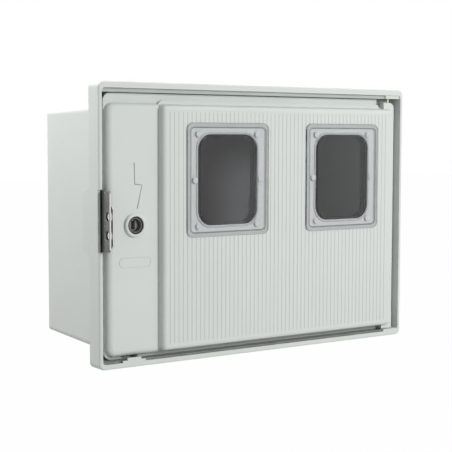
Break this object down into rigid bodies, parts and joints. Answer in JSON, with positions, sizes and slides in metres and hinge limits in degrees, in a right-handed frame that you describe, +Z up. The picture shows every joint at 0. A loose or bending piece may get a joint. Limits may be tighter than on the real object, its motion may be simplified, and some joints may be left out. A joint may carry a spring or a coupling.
{
  "type": "electric meter box",
  "caption": "Wall-mounted moulded meter box with a deep rim, a hinged ribbed door with clear reading windows, a cam lock and padlock ears.",
  "frame": {"origin": "centre of the wall fixing holes, on the back face of the tub", "axes": "+X to the right, +Y into the wall, +Z up; the door faces -Y"},
  "size_m": [0.53, 0.2242, 0.378],
  "materials": {
    "moulded_grey": "satin moulded grey-white glass-reinforced polyester",
    "seal_rubber": "matt black foam rubber",
    "seal_grey": "matt pale grey moulded rubber",
    "board_plastic": "matt grey laminate",
    "brass": "plain turned brass",
    "zinc_steel": "bright zinc plate",
    "clear_window": "clear polycarbonate",
    "lock_plastic": "dark grey moulded polyamide"
  },
  "bodies": {
    "enclosure": {"enclosure": "moulded_grey", "door_seal": "seal_rubber", "meter_board": "board_plastic", "threaded_inserts": "brass", "meter_board_screws": "zinc_steel", "hinge_pin_top": "brass", "hinge_pin_bottom": "brass", "padlock_plate": "zinc_steel", "padlock_plate_screws": "zinc_steel"},
    "door": {"door": "moulded_grey", "window_left": "clear_window", "window_right": "clear_window", "window_seal_left": "seal_grey", "window_seal_right": "seal_grey", "window_push_nuts": "zinc_steel", "door_hasp_plate": "zinc_steel", "hasp_rivets": "zinc_steel", "lock_housing": "lock_plastic", "lock_nut": "zinc_steel"},
    "lock": {"lock_plug": "lock_plastic", "lock_cam": "zinc_steel", "cam_washer": "zinc_steel", "cam_screw": "zinc_steel"}
  },
  "joints": [
    {"name": "door_hinge", "type": "hinge", "parent": "enclosure", "child": "door", "pos_m": [0.241, -0.197, 0], "axis": [0, 0, 1], "range_deg": [0, 100]},
    {"name": "lock_turn", "type": "hinge", "parent": "door", "child": "lock", "pos_m": [-0.209, -0.18, 0.0055], "axis": [0, 1, 0], "range_deg": [0, 90]}
  ]
}
